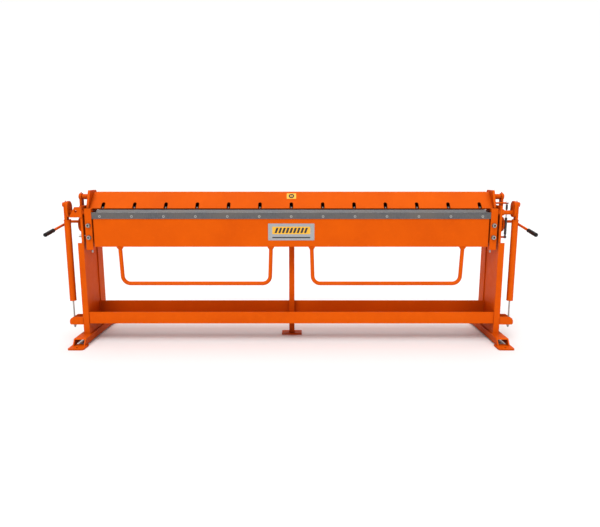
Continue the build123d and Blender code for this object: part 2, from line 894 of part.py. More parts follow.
with BuildPart() as clamp_pins:
    pin_steps = (
        (end_plate_outer, strap_inner, clamp_pin_radius),
        (strap_inner, strap_outer, pin_neck_radius),
        (strap_outer, strap_outer + 6, 17.0),
    )
    for side in (-1, 1):
        for start, stop, radius in pin_steps:
            with BuildSketch(across(side * start)):
                with Locations((clamp_pin_y, clamp_pin_z)):
                    Circle(radius)
            extrude(amount=side * (stop - start))
save(clamp_pins.part, "clamp_pins")

# ---------------------------------------------------------------- link straps and lever shaft
rest_angle = math.radians(45)
disc_y = shaft_y - eccentric_throw * math.cos(rest_angle)
disc_z = shaft_z - eccentric_throw * math.sin(rest_angle)
yoke_travel = eccentric_throw * (1 - math.cos(rest_angle))
yoke_y = disc_y - yoke_travel / 2
yoke_wall = 13.0
yoke_bore = 2 * (eccentric_radius + strap_clearance)

with BuildPart() as link_straps:
    for side in (-1, 1):
        with BuildSketch(across(side * strap_inner)):
            centre_rectangle(clamp_pin_y - strap_half, clamp_pin_y + strap_half, disc_z, clamp_pin_z)
            with Locations((clamp_pin_y, clamp_pin_z)):
                Circle(strap_eye_radius)
                Circle(pin_neck_radius, mode=Mode.SUBTRACT)
            with Locations((yoke_y, disc_z)):
                SlotCenterToCenter(yoke_travel, yoke_bore + 2 * yoke_wall)
                SlotCenterToCenter(yoke_travel, yoke_bore, mode=Mode.SUBTRACT)
        extrude(amount=side * (strap_outer - strap_inner))
        with BuildSketch(Plane.XY.offset(clamp_pin_z + 22)):
            with Locations((side * (strap_inner + strap_outer) / 2, clamp_pin_y)):
                Circle(3.2)
        extrude(amount=9)
save(link_straps.part, "link_straps")

with BuildPart() as lever_shaft:
    body_half = 1310.0
    with BuildSketch(across(-body_half)):
        with Locations((shaft_y, shaft_z)):
            Circle(shaft_body_radius)
    extrude(amount=2 * body_half)
    with BuildSketch(across(-(lever_x + lever_half_hub))):
        with Locations((shaft_y, shaft_z)):
            Circle(shaft_radius)
    extrude(amount=2 * (lever_x + lever_half_hub))
save(lever_shaft.part, "lever_shaft")

with BuildPart() as eccentrics:
    for side in (-1, 1):
        with BuildSketch(across(side * strap_inner)):
            with Locations((disc_y, disc_z)):
                Circle(eccentric_radius)
            with Locations((shaft_y, shaft_z)):
                Circle(shaft_radius, mode=Mode.SUBTRACT)
        extrude(amount=side * (strap_outer - strap_inner))
save(eccentrics.part, "eccentrics")

droop = math.radians(lever_droop)
arm_direction = (0, -math.cos(droop), -math.sin(droop))

with BuildPart() as lever_arms:
    for side in (-1, 1):
        arm_plane = Plane(origin=(side * lever_x, shaft_y, shaft_z), x_dir=(1, 0, 0), z_dir=arm_direction)
        with BuildSketch(arm_plane.offset(shaft_radius + 1)):
            Circle(lever_radius)
        extrude(amount=lever_length - shaft_radius - 1)
        with BuildSketch(across(side * (lever_x - lever_half_hub))):
            with Locations((shaft_y, shaft_z)):
                Circle(lever_hub_radius)
        extrude(amount=side * 2 * lever_half_hub)
        with BuildSketch(across(side * (lever_x - lever_half_hub))):
            with Locations((shaft_y, shaft_z)):
                Circle(shaft_radius)
        extrude(amount=side * 2 * lever_half_hub, mode=Mode.SUBTRACT)
save(lever_arms.part, "lever_arms")

for side in (-1, 1):
    with BuildPart() as grip:
        arm_plane = Plane(origin=(side * lever_x, shaft_y, shaft_z), x_dir=(1, 0, 0), z_dir=arm_direction)
        with BuildSketch(arm_plane.offset(grip_start)):
            Circle(grip_radius)
        extrude(amount=lever_length + grip_cap - grip_start)
        fillet(grip.edges().sort_by(Axis.Y)[0], 5)
        with BuildSketch(arm_plane.offset(grip_start)):
            Circle(lever_radius)
        extrude(amount=lever_length - grip_start, mode=Mode.SUBTRACT)
    save(grip.part, f"grip_{side_name(side)}")

# ---------------------------------------------------------------- gas strut
eye_radius = 9.0
eye_half = 6.0
strut_plane_low = across(strut_x - eye_half)
cylinder_low = 700.0
cylinder_high = 810.0
rod_inset = 20.0
socket_low = 862.0
socket_high = 893.0
strut_socket_radius = 7.0

with BuildPart() as strut_lower_stud:
    with BuildSketch(across(cheek_outer)):
        with Locations((strut_y, strut_low_z)):
            Circle(stud_radius)
    extrude(amount=strut_x + eye_half + 2 - cheek_outer)
save(strut_lower_stud.part, "strut_lower_stud")

with BuildPart() as strut_upper_stud:
    with BuildSketch(across(end_plate_outer)):
        with Locations((strut_y, strut_high_z)):
            Circle(stud_radius)
    extrude(amount=strut_x + eye_half + 2 - end_plate_outer)
save(strut_upper_stud.part, "strut_upper_stud")

with BuildPart() as strut_cylinder:
    with BuildSketch(strut_plane_low):
        with Locations((strut_y, strut_low_z)):
            Circle(eye_radius)
    extrude(amount=2 * eye_half)
    with BuildSketch(Plane.XY.offset(strut_low_z)):
        with Locations((strut_x, strut_y)):
            Circle(5)
    extrude(amount=cylinder_low - strut_low_z)
    with BuildSketch(Plane.XY.offset(cylinder_low)):
        with Locations((strut_x, strut_y)):
            Circle(strut_radius)
    extrude(amount=cylinder_high - cylinder_low)
    with BuildSketch(strut_plane_low):
        with Locations((strut_y, strut_low_z)):
            Circle(stud_radius)
    extrude(amount=2 * eye_half, mode=Mode.SUBTRACT)
    with BuildSketch(Plane.XY.offset(cylinder_low + 5)):
        with Locations((strut_x, strut_y)):
            Circle(strut_rod_radius + 2 * running_gap)
    extrude(amount=cylinder_high - cylinder_low - 5, mode=Mode.SUBTRACT)
save(strut_cylinder.part, "strut_cylinder")

with BuildPart() as strut_rod:
    with BuildSketch(Plane.XY.offset(cylinder_low + rod_inset)):
        with Locations((strut_x, strut_y)):
            Circle(strut_rod_radius)
    extrude(amount=strut_high_z - cylinder_low - rod_inset)
    with BuildSketch(strut_plane_low):
        with Locations((strut_y, strut_high_z)):
            Circle(eye_radius)
    extrude(amount=2 * eye_half)
    with BuildSketch(strut_plane_low):
        with Locations((strut_y, strut_high_z)):
            Circle(stud_radius)
    extrude(amount=2 * eye_half, mode=Mode.SUBTRACT)
save(strut_rod.part, "strut_rod")

with BuildPart() as strut_end_socket:
    with BuildSketch(Plane.XY.offset(socket_low)):
        with Locations((strut_x, strut_y)):
            Circle(strut_socket_radius)
            Circle(strut_rod_radius, mode=Mode.SUBTRACT)
    extrude(amount=socket_high - socket_low)
save(strut_end_socket.part, "strut_end_socket")
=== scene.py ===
"""Looks for the sheet metal brake: materials, welds, grips, fastener detail, light and camera.

Metres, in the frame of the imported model: +X right, +Y away from the operator, +Z up.
"""

import json
import math
import random

import bmesh
import bpy
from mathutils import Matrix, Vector


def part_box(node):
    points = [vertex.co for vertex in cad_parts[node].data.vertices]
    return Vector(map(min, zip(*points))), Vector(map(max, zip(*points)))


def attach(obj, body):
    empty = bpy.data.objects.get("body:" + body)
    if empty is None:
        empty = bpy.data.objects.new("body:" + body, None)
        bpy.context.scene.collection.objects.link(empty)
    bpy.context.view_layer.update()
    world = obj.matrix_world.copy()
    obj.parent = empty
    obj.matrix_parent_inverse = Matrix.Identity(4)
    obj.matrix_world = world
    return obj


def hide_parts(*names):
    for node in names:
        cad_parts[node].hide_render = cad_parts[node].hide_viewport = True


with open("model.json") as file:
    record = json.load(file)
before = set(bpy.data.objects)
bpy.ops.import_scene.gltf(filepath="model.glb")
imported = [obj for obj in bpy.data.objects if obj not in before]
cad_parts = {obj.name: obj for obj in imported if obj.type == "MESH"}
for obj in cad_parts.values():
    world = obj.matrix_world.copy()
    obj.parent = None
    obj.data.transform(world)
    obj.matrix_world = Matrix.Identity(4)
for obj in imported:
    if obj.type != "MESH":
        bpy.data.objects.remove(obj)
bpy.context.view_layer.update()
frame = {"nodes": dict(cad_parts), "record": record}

MM = 0.001
SIDES = ("left", "right")
CAD_SHARP = math.radians(32)
PIECE_SHARP = math.radians(38)

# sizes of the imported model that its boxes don't give, metres and degrees
LEVER_DROOP = 8.1
LEVER_RADIUS = 8.0 * MM
GRIP_START = 238.0 * MM
GRIP_END = 356.0 * MM
BALANCE_ARM_INNER = 1408.0 * MM
HANDLE_RADIUS = 12.5 * MM
ROD_RADIUS = 5.0 * MM
TRAY_LIP_TOP = 200.0 * MM
FOOT_TOP = 10.0 * MM
BEAM_FACE_RUN = 93.0
BEAM_FACE_RISE = 101.0


# ---------------------------------------------------------------- node helpers
def new_material(name):
    """Empty node material with its Principled shader and output."""
    material = bpy.data.materials.new(name)
    material.use_nodes = True
    shader = material.node_tree.nodes["Principled BSDF"]
    return material, material.node_tree, shader


def link(tree, source, target):
    tree.links.new(source, target)


def ramp(tree, source, low, high, start=0.0, end=1.0):
    """Remaps a 0 to 1 value to another range between two stops."""
    node = tree.nodes.new("ShaderNodeMapRange")
    node.inputs["From Min"].default_value = low
    node.inputs["From Max"].default_value = high
    node.inputs["To Min"].default_value = start
    node.inputs["To Max"].default_value = end
    link(tree, source, node.inputs["Value"])
    return node.outputs["Result"]


def noise(tree, scale, detail=4.0, stretch=(1, 1, 1), roughness=0.55):
    """Noise in object space, stretched along the axes."""
    coords = tree.nodes.new("ShaderNodeTexCoord")
    mapping = tree.nodes.new("ShaderNodeMapping")
    mapping.inputs["Scale"].default_value = stretch
    texture = tree.nodes.new("ShaderNodeTexNoise")
    texture.inputs["Scale"].default_value = scale
    texture.inputs["Detail"].default_value = detail
    texture.inputs["Roughness"].default_value = roughness
    link(tree, coords.outputs["Object"], mapping.inputs["Vector"])
    link(tree, mapping.outputs["Vector"], texture.inputs["Vector"])
    return texture.outputs["Fac"]


def mix_colour(tree, factor, first, second):
    """Colour between two colours or colour sockets."""
    node = tree.nodes.new("ShaderNodeMix")
    node.data_type = "RGBA"
    for socket, value in ((node.inputs[6], first), (node.inputs[7], second)):
        if isinstance(value, tuple):
            socket.default_value = value
        else:
            link(tree, value, socket)
    link(tree, factor, node.inputs[0])
    return node.outputs[2]


def maths(tree, operation, first, second):
    """Clamped arithmetic on two numbers or value sockets."""
    node = tree.nodes.new("ShaderNodeMath")
    node.operation = operation
    node.use_clamp = True
    for socket, value in zip(node.inputs, (first, second)):
        if isinstance(value, (int, float)):
            socket.default_value = value
        else:
            link(tree, value, socket)
    return node.outputs[0]


def edge_mask(tree, radius):
    """1 near sharp edges, 0 on flats: how far a bevelled normal leans from the true one."""
    bevel = tree.nodes.new("ShaderNodeBevel")
    bevel.samples = 6
    bevel.inputs["Radius"].default_value = radius
    geometry = tree.nodes.new("ShaderNodeNewGeometry")
    dot = tree.nodes.new("ShaderNodeVectorMath")
    dot.operation = "DOT_PRODUCT"
    link(tree, bevel.outputs["Normal"], dot.inputs[0])
    link(tree, geometry.outputs["Normal"], dot.inputs[1])
    return ramp(tree, dot.outputs["Value"], 0.995, 0.86)


def surface_normal(tree, shader, heights, edge=0.0012):
    """Rounds the edges by a bevelled normal, then adds each (height, strength, distance) bump."""
    bevel = tree.nodes.new("ShaderNodeBevel")
    bevel.samples = 4
    bevel.inputs["Radius"].default_value = edge
    normal = bevel.outputs["Normal"]
    for height, strength, distance in heights:
        bump = tree.nodes.new("ShaderNodeBump")
        bump.inputs["Strength"].default_value = strength
        bump.inputs["Distance"].default_value = distance
        link(tree, height, bump.inputs["Height"])
        link(tree, normal, bump.inputs["Normal"])
        normal = bump.outputs["Normal"]
    link(tree, normal, shader.inputs["Normal"])


# ---------------------------------------------------------------- materials
ORANGE = (0.78, 0.108, 0.001, 1)
ORANGE_DEEP = (0.70, 0.090, 0.001, 1)
ORANGE_FADED = (0.83, 0.130, 0.002, 1)
PRIMER = (0.22, 0.085, 0.04, 1)
BARE_STEEL = (0.33, 0.32, 0.31, 1)
# dark orange used as painted shade in recesses and between parts
PAINTED_SHADE_ORANGE = (0.16, 0.012, 0.0, 1)


def orange_paint():
    """Sprayed enamel: orange peel, faint runs of tone, wear along the edges, and painted shade that darkens
    the paint in recesses and enclosed faces.
    """
    material, tree, shader = new_material("orange_paint")
    broad = noise(tree, 3.0, 5, roughness=0.6)
    fine = noise(tree, 40.0, 3)
    tone = mix_colour(tree, ramp(tree, broad, 0.35, 0.68), ORANGE_DEEP, ORANGE)
    speck = mix_colour(tree, ramp(tree, fine, 0.56, 0.76, 0, 0.35), tone, ORANGE_FADED)
    edges = edge_mask(tree, 0.0016)
    chips = ramp(tree, noise(tree, 130.0, 6, roughness=0.7), 0.57, 0.64)
    worn = maths(tree, "MULTIPLY", edges, chips)
    bare = maths(tree, "MULTIPLY", worn, ramp(tree, noise(tree, 300.0, 2), 0.45, 0.6))
    painted = mix_colour(tree, worn, speck, PRIMER)
    colour = mix_colour(tree, bare, painted, BARE_STEEL)
    # Painted shade: the ambient occlusion below darkens the base colour towards dark orange in recesses,
    # creases and enclosed faces.
    shade_occlusion = tree.nodes.new("ShaderNodeAmbientOcclusion")
    shade_occlusion.samples = 8
    shade_occlusion.inputs["Distance"].default_value = 0.25
    painted_shade_mask = ramp(tree, shade_occlusion.outputs["AO"], 0.85, 0.20, 0, 0.60)
    link(tree, mix_colour(tree, painted_shade_mask, colour, PAINTED_SHADE_ORANGE), shader.inputs["Base Color"])
    link(tree, ramp(tree, noise(tree, 18.0, 5), 0.3, 0.7, 0.44, 0.58), shader.inputs["Roughness"])
    shader.inputs["Specular IOR Level"].default_value = 0.05
    peel = noise(tree, 420.0, 2)
    dents = noise(tree, 9.0, 3)
    surface_normal(tree, shader, [(dents, 0.10, 0.004), (peel, 0.10, 0.0006)], edge=0.0018)
    return material


def ground_steel():
    """Surface-ground tool steel: fine cross lines, handling smears, rust specks and bright edges."""
    material, tree, shader = new_material("ground_steel")
    lines = noise(tree, 60.0, 6, stretch=(14, 1, 1))
    smear = noise(tree, 5.0, 5, stretch=(1, 3, 3))
    spots = noise(tree, 70.0, 8, roughness=0.75)
    base = mix_colour(tree, ramp(tree, lines, 0.3, 0.7), (0.085, 0.087, 0.093, 1), (0.19, 0.19, 0.20, 1))
    dull = mix_colour(tree, ramp(tree, smear, 0.4, 0.66, 0, 0.7), base, (0.19, 0.165, 0.145, 1))
    colour = mix_colour(tree, ramp(tree, spots, 0.64, 0.74, 0, 0.7), dull, (0.12, 0.055, 0.03, 1))
    bright = mix_colour(tree, edge_mask(tree, 0.0014), colour, (0.5, 0.49, 0.48, 1))
    link(tree, bright, shader.inputs["Base Color"])
    shader.inputs["Metallic"].default_value = 0.75
    link(tree, ramp(tree, smear, 0.3, 0.7, 0.34, 0.55), shader.inputs["Roughness"])
    surface_normal(tree, shader, [(lines, 0.12, 0.0004), (spots, 0.05, 0.0004)], edge=0.0010)
    return material


def zinc_steel():
    """Dull zinc plate: a faint yellow passivate, turning marks, and painted shade that darkens the recesses
    to near black.
    """
    material, tree, shader = new_material("zinc_steel")
    tint = noise(tree, 70.0, 4)
    marks = noise(tree, 260.0, 2, stretch=(1, 1, 5))
    colour = mix_colour(tree, ramp(tree, tint, 0.35, 0.65), (0.44, 0.44, 0.45, 1), (0.50, 0.47, 0.41, 1))
    dark = mix_colour(tree, ramp(tree, noise(tree, 180, 6), 0.6, 0.75, 0, 0.5), colour, (0.2, 0.18, 0.16, 1))
    # Painted shade: the ambient occlusion below darkens sockets and recesses to near black.
    shade_occlusion = tree.nodes.new("ShaderNodeAmbientOcclusion")
    shade_occlusion.samples = 8
    shade_occlusion.inputs["Distance"].default_value = 0.009
    painted_recess_shade = ramp(tree, shade_occlusion.outputs["AO"], 0.92, 0.45, 0, 0.95)
    link(tree, mix_colour(tree, painted_recess_shade, dark, (0.03, 0.027, 0.025, 1)), shader.inputs["Base Color"])
    shader.inputs["Metallic"].default_value = 0.9
    link(tree, ramp(tree, tint, 0.3, 0.7, 0.40, 0.56), shader.inputs["Roughness"])
    surface_normal(tree, shader, [(marks, 0.08, 0.0003)], edge=0.0007)
    return material


def black_grip():
    """Dipped black rubber: matt grain, a dusty bloom in the high spots."""
    material, tree, shader = new_material("black_grip")
    grain = noise(tree, 900.0, 3)
    bloom = noise(tree, 30.0, 5)
    colour = mix_colour(tree, ramp(tree, bloom, 0.45, 0.75),
                        (0.006, 0.0055, 0.0055, 1), (0.022, 0.020, 0.019, 1))
    link(tree, colour, shader.inputs["Base Color"])
    shader.inputs["Specular IOR Level"].default_value = 0.2
    link(tree, ramp(tree, bloom, 0.3, 0.7, 0.42, 0.62), shader.inputs["Roughness"])
    surface_normal(tree, shader, [(grain, 0.25, 0.0004)], edge=0.001)
    return material


def spring_steel():
    """Oiled spring wire."""
    material, tree, shader = new_material("spring_steel")
    streak = noise(tree, 200.0, 4)
    colour = mix_colour(tree, streak, (0.05, 0.045, 0.04, 1), (0.16, 0.15, 0.14, 1))
    link(tree, colour, shader.inputs["Base Color"])
    shader.inputs["Metallic"].default_value = 0.9
    link(tree, ramp(tree, streak, 0.2, 0.8, 0.25, 0.5), shader.inputs["Roughness"])
    return material


def plate_silver():
    """Brushed aluminium label stock."""
    material, tree, shader = new_material("plate_silver")
    brush = noise(tree, 90.0, 5, stretch=(1, 1, 30))
    colour = mix_colour(tree, ramp(tree, brush, 0.3, 0.7), (0.34, 0.35, 0.36, 1), (0.56, 0.57, 0.58, 1))
    link(tree, colour, shader.inputs["Base Color"])
    shader.inputs["Metallic"].default_value = 0.7
    link(tree, ramp(tree, brush, 0.3, 0.7, 0.3, 0.46), shader.inputs["Roughness"])
    surface_normal(tree, shader, [(brush, 0.08, 0.0003)], edge=0.0006)
    return material


def plain_print(name, low, high, roughness):
    """Printed or moulded colour with a slight mottle."""
    material, tree, shader = new_material(name)
    mottle = noise(tree, 120.0, 5)
    link(tree, mix_colour(tree, mottle, low, high), shader.inputs["Base Color"])
    link(tree, ramp(tree, mottle, 0.3, 0.7, roughness, roughness + 0.12), shader.inputs["Roughness"])
    surface_normal(tree, shader, [(mottle, 0.05, 0.0004)], edge=0.0005)
    return material


def metal(name, low, high, roughness, scale=150.0, stretch=(1, 1, 6)):
    """Machined metal with tool marks."""
    material, tree, shader = new_material(name)
    marks = noise(tree, scale, 5, stretch=stretch)
    link(tree, mix_colour(tree, ramp(tree, marks, 0.3, 0.7), low, high), shader.inputs["Base Color"])
    shader.inputs["Metallic"].default_value = 0.95
    link(tree, ramp(tree, marks, 0.3, 0.7, roughness, roughness + 0.15), shader.inputs["Roughness"])
    surface_normal(tree, shader, [(marks, 0.06, 0.0003)], edge=0.0006)
    return material


materials = {
    "orange_paint": orange_paint(),
    "ground_steel": ground_steel(),
    "zinc_steel": zinc_steel(),
    "black_grip": black_grip(),
    "spring_steel": spring_steel(),
    "plate_silver": plate_silver(),
    "sign_yellow": plain_print("sign_yellow", (0.88, 0.42, 0.02, 1), (0.98, 0.55, 0.04, 1), 0.35),
    "strut_dark": plain_print("strut_dark", (0.035, 0.035, 0.038, 1), (0.075, 0.075, 0.08, 1), 0.3),
    "strut_chrome": metal("strut_chrome", (0.62, 0.62, 0.63, 1), (0.78, 0.78, 0.79, 1), 0.1),
    "bush_bronze": metal("bush_bronze", (0.32, 0.17, 0.06, 1), (0.48, 0.28, 0.11, 1), 0.3),
}
ink_dark = plain_print("ink_dark", (0.012, 0.006, 0.003, 1), (0.03, 0.014, 0.006, 1), 0.5)
ink_grey = plain_print("ink_grey", (0.012, 0.012, 0.014, 1), (0.035, 0.035, 0.040, 1), 0.5)

node_slot = {entry["node"]: entry["material_slot"] for entry in frame["record"]["subparts"]}
for name, node in frame["nodes"].items():
    node.data.materials.clear()
    node.data.materials.append(materials[node_slot[name]])
    node.data.shade_smooth()
    node.data.set_sharp_from_angle(angle=CAD_SHARP)


# ---------------------------------------------------------------- mesh helpers
def finish_mesh(name, work, body, slot, material=None, smooth=True):
    """Turns a bmesh into an object that rides on a body and takes a slot's material."""
    mesh = bpy.data.meshes.new(name)
    bmesh.ops.recalc_face_normals(work, faces=work.faces)
    work.to_mesh(mesh)
    work.free()
    piece = bpy.data.objects.new(name, mesh)
    bpy.context.scene.collection.objects.link(piece)
    mesh.materials.append(material or materials[slot])
    if smooth:
        mesh.shade_smooth()
        mesh.set_sharp_from_angle(angle=PIECE_SHARP)
    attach(piece, body)
    return piece


def lathe(work, profile, origin, axis, steps=32, closed=False):
    """Revolves (radius, distance along axis) points about an axis through origin."""
    turn = Vector(axis).to_track_quat("Z", "Y").to_matrix()
    rings = []
    for radius, along in profile:
        if radius < 1e-6:
            rings.append([work.verts.new(Vector(origin) + turn @ Vector((0, 0, along)))])
            continue
        ring = []
        for step in range(steps):
            angle = 2 * math.pi * step / steps
            local = Vector((radius * math.cos(angle), radius * math.sin(angle), along))
            ring.append(work.verts.new(Vector(origin) + turn @ local))
        rings.append(ring)
    pairs = list(zip(rings, rings[1:]))
    if closed:
        pairs.append((rings[-1], rings[0]))
    for low, high in pairs:
        count = max(len(low), len(high))
        if count == 1:
            continue
        for step in range(count):
            after = (step + 1) % count
            corners = []
            for ring, index in ((low, step), (low, after), (high, after), (high, step)):
                vertex = ring[index] if len(ring) > 1 else ring[0]
                if vertex not in corners:
                    corners.append(vertex)
            if len(corners) > 2:
                work.faces.new(corners)


def weld_bead(work, start, end, radius, seed):
    """Rippled fillet weld between two points, drawn as overlapping coins."""
    start = Vector(start)
    end = Vector(end)
    along = (end - start).normalized()
    side = along.orthogonal().normalized()
    lift = along.cross(side)
    wobble = random.Random(seed)
    length = (end - start).length
    steps = max(8, int(length / (radius * 0.42)))
    around = 10
    rings = []
    for step in range(steps + 1):
        share = step / steps
        ripple = 1 + 0.16 * math.cos(step * 2 * math.pi / 3) + wobble.uniform(-0.05, 0.05)
        taper = min(1.0, 0.35 + min(share, 1 - share) * length / radius)
        centre = start.lerp(end, share)
        size = radius * ripple * taper
        ring = []
        for k in range(around):
            angle = 2 * math.pi * k / around
            ring.append(work.verts.new(centre + size * (math.cos(angle) * side + math.sin(angle) * lift)))
        rings.append(ring)
    for low, high in zip(rings, rings[1:]):
        for k in range(around):
            work.faces.new((low[k], low[(k + 1) % around], high[(k + 1) % around], high[k]))
    work.faces.new(rings[0])
    work.faces.new(rings[-1])


def weld_ring(work, centre, axis, ring_radius, radius, seed):
    """Rippled weld round a bar or tube."""
    turn = Vector(axis).to_track_quat("Z", "Y").to_matrix()
    wobble = random.Random(seed)
    steps = max(24, int(2 * math.pi * ring_radius / (radius * 0.5)) // 3 * 3)
    around = 8
    rings = []
    for step in range(steps):
        angle = 2 * math.pi * step / steps
        outward = Vector((math.cos(angle), math.sin(angle), 0))
        size = radius * (1 + 0.15 * math.cos(step * 2 * math.pi / 3) + wobble.uniform(-0.04, 0.04))
        ring = []
        for k in range(around):
            tilt = 2 * math.pi * k / around
            local = outward * (ring_radius + size * math.cos(tilt)) + Vector((0, 0, size * math.sin(tilt)))
            ring.append(work.verts.new(Vector(centre) + turn @ local))
        rings.append(ring)
    for step in range(steps):
        low = rings[step]
        high = rings[(step + 1) % steps]
        for k in range(around):
            work.faces.new((low[k], low[(k + 1) % around], high[(k + 1) % around], high[k]))


def plate(work, centre, across, up, width, height, thickness, radius=0.0, steps=5):
    """Flat plate with rounded corners, lying on centre and standing out along across x up."""
    across = Vector(across).normalized()
    up = Vector(up).normalized()
    out = across.cross(up)
    centre = Vector(centre)
    points = []
    for quadrant, (sx, sy) in enumerate(((1, 1), (-1, 1), (-1, -1), (1, -1))):
        corner = Vector((sx * (width / 2 - radius), sy * (height / 2 - radius)))
        for step in range(steps + 1 if radius else 1):
            angle = math.pi / 2 * (quadrant + step / steps)
            points.append(corner + radius * Vector((math.cos(angle), math.sin(angle))))
    low = [work.verts.new(centre + across * p.x + up * p.y) for p in points]
    high = [work.verts.new(v.co + out * thickness) for v in low]
    work.faces.new(low)
    work.faces.new(high)
    count = len(points)
    for k in range(count):
        work.faces.new((low[k], low[(k + 1) % count], high[(k + 1) % count], high[k]))


# ---------------------------------------------------------------- grips
def grips():
    """Ribbed rubber grips with a flange at the hand's edge and a domed end."""
    for side in SIDES:
        node = f"grip_{side}"
        low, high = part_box(node)
        x = (low.x + high.x) / 2
        radius = (high.x - low.x) / 2
        shaft_low, shaft_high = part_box("lever_shaft")
        hub = Vector((x, (shaft_low.y + shaft_high.y) / 2, (shaft_low.z + shaft_high.z) / 2))
        droop = math.radians(LEVER_DROOP)
        along = Vector((0, -math.cos(droop), -math.sin(droop)))
        start = GRIP_START
        end = GRIP_END
        profile = [(LEVER_RADIUS, start), (radius * 0.93, start), (radius, start + 1.5 * MM),
                   (radius, start + 6 * MM), (radius * 0.86, start + 8 * MM)]
        ribs = 12
        rib_start = start + 12 * MM
        rib_end = end - 16 * MM
        for k in range(ribs * 4 + 1):
            share = k / (ribs * 4)
            wave = 0.5 + 0.5 * math.cos(2 * math.pi * ribs * share)
            swell = 0.90 + 0.055 * math.sin(math.pi * share)
            profile.append((radius * (swell + 0.035 * wave), rib_start + share * (rib_end - rib_start)))
        profile.append((radius * 0.92, end - 13 * MM))
        profile.append((radius, end - 10 * MM))
        dome = 8 * MM
        for k in range(7):
            angle = math.pi / 2 * k / 6
            profile.append((radius * math.cos(angle) if k < 6 else 0, end - dome + dome * math.sin(angle)))
        work = bmesh.new()
        lathe(work, profile, hub, along, steps=40)
        grip = finish_mesh(f"rubber_grip_{side}", work, "levers", "black_grip")
        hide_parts(node)


grips()


# ---------------------------------------------------------------- welds
def frame_welds():
    """Painted weld beads where the stand's plates meet."""
    work = bmesh.new()
    seed = 100
    rail_low, rail_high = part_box("foot_rail_right")
    leg_low, leg_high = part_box("side_frame_right")
    tray_low, tray_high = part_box("tray")
    post_low, post_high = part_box("centre_post")
    bracket_low, bracket_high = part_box("spring_brackets")
    rail_foot = FOOT_TOP + 0.5 * MM
    for sign in (-1, 1):
        web = sign * leg_low.x
        tip = sign * leg_high.x
        foot = rail_high.z
        for start, end in (
            ((web, leg_low.y, foot), (tip, leg_low.y, foot)),
            ((web, leg_high.y, foot), (tip, leg_high.y, foot)),
            ((web, leg_low.y, foot), (web, leg_high.y, foot)),
        ):
            weld_bead(work, start, end, 3.2 * MM, seed)
            seed += 1
        for y in (tray_low.y + 5 * MM, tray_high.y - 5 * MM):
            top = TRAY_LIP_TOP - 4 * MM if y < 0 else tray_high.z - 4 * MM
            weld_bead(work, (web, y, tray_low.z + 8 * MM), (web, y, top), 2.6 * MM, seed)
            seed += 1
        weld_bead(work, (web, tray_low.y + 8 * MM, tray_low.z + 5 * MM),
                  (web, tray_high.y - 8 * MM, tray_low.z + 5 * MM), 2.6 * MM, seed)
        seed += 1
        weld_bead(work, (tip, leg_low.y - 0.2 * MM, bracket_low.z + 4 * MM),
                  (tip, leg_low.y - 0.2 * MM, bracket_high.z - 4 * MM), 2.4 * MM, seed)
        seed += 1
        for y in (rail_low.y, rail_high.y):
            for edge in (rail_low.x, rail_high.x):
                weld_bead(work, (sign * edge, y - math.copysign(2 * MM, y), rail_foot),
                          (sign * edge, y - math.copysign(22 * MM, y), rail_foot), 2.4 * MM, seed)
                seed += 1
    post_foot = FOOT_TOP + 0.2 * MM
    for x in (post_low.x, post_high.x):
        weld_bead(work, (x, post_low.y, post_foot), (x, post_high.y, post_foot), 2.6 * MM, seed)
        seed += 1
    weld_bead(work, (post_low.x, post_low.y, post_foot), (post_high.x, post_low.y, post_foot), 2.6 * MM, seed)
    finish_mesh("stand_welds", work, "stand", "orange_paint")


def pivot_welds():
    """Weld rings round the clamp pins, handle collars and balance arms."""
    clamp = bmesh.new()
    leaf = bmesh.new()
    plates_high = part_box("clamp_end_plates")[1]
    pin_low, pin_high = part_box("clamp_pins")
    pin_y = (pin_low.y + pin_high.y) / 2
    pin_z = (pin_low.z + pin_high.z) / 2
    pin_radius = (pin_high.z - pin_low.z) / 2
    shaft_low, shaft_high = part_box("pivot_shafts")
    shaft_y = (shaft_low.y + shaft_high.y) / 2
    shaft_z = (shaft_low.z + shaft_high.z) / 2
    shaft_radius = (shaft_high.z - shaft_low.z) / 2
    for k, sign in enumerate((-1, 1)):
        weld_ring(clamp, (sign * (plates_high.x + 1 * MM), pin_y, pin_z), (1, 0, 0),
                  pin_radius + 0.5 * MM, 3 * MM, 200 + k)
        weld_ring(leaf, (sign * (BALANCE_ARM_INNER - 0.5 * MM), shaft_y, shaft_z), (1, 0, 0),
                  shaft_radius + 0.5 * MM, 2.6 * MM, 210 + k)
    collar_low, collar_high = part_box("handle_collars")
    handle_y = (collar_low.y + collar_high.y) / 2
    for k, side in enumerate(SIDES):
        low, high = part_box(f"handle_{side}")
        for j, x in enumerate((low.x + HANDLE_RADIUS, high.x - HANDLE_RADIUS)):
            weld_ring(leaf, (x, handle_y, collar_low.z - 0.5 * MM), (0, 0, 1), HANDLE_RADIUS + 0.5 * MM,
                      2.2 * MM, 220 + 4 * k + j)
    finish_mesh("clamp_pin_welds", clamp, "clamp", "orange_paint")
    finish_mesh("leaf_welds", leaf, "leaf", "orange_paint")


frame_welds()
pivot_welds()


